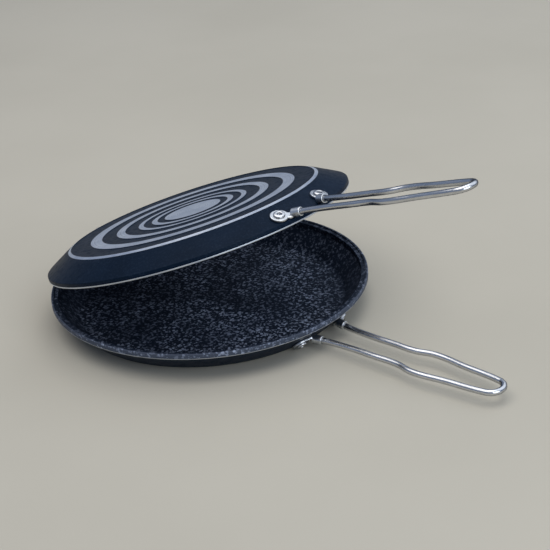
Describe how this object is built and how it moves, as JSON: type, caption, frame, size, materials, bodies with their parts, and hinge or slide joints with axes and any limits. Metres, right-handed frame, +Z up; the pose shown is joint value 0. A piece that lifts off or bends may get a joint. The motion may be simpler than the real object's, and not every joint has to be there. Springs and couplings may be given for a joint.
{
  "type": "double sided flip pan",
  "caption": "Hinged pair of shallow round frying pans that close rim to rim, each with a long steel wire loop handle opposite the hinge.",
  "frame": {"origin": "centre of the lower pan's base, on the face that it rests on", "axes": "+X from the hinge towards the handles, +Z up, the hinge pin lies along Y at -X"},
  "size_m": [0.455, 0.28, 0.1747],
  "materials": {
    "pan_coating": "cast aluminium with a dark navy non-stick coat, satin, bare metal on the base rings and the rim edge",
    "polished_steel": "polished stainless steel",
    "rivet_steel": "satin stainless steel"
  },
  "bodies": {
    "lower": {"lower_pan": "pan_coating", "lower_handle_wire": "polished_steel", "lower_lug_left": "polished_steel", "lower_lug_right": "polished_steel", "lower_handle_rivet_left": "rivet_steel", "lower_handle_rivet_right": "rivet_steel", "lower_hinge_leaf": "polished_steel", "lower_hinge_rivet_left": "rivet_steel", "lower_hinge_rivet_right": "rivet_steel", "hinge_pin": "rivet_steel", "hinge_washer_left": "rivet_steel", "hinge_washer_right": "rivet_steel"},
    "upper": {"upper_pan": "pan_coating", "upper_handle_wire": "polished_steel", "upper_lug_left": "polished_steel", "upper_lug_right": "polished_steel", "upper_handle_rivet_left": "rivet_steel", "upper_handle_rivet_right": "rivet_steel", "upper_hinge_leaf": "polished_steel", "upper_hinge_rivet_left": "rivet_steel", "upper_hinge_rivet_right": "rivet_steel"}
  },
  "joints": [
    {"name": "pan_hinge", "type": "hinge", "parent": "lower", "child": "upper", "pos_m": [-0.147, 0, 0.026], "axis": [0, -1, 0], "range_deg": [-18, 162]}
  ]
}
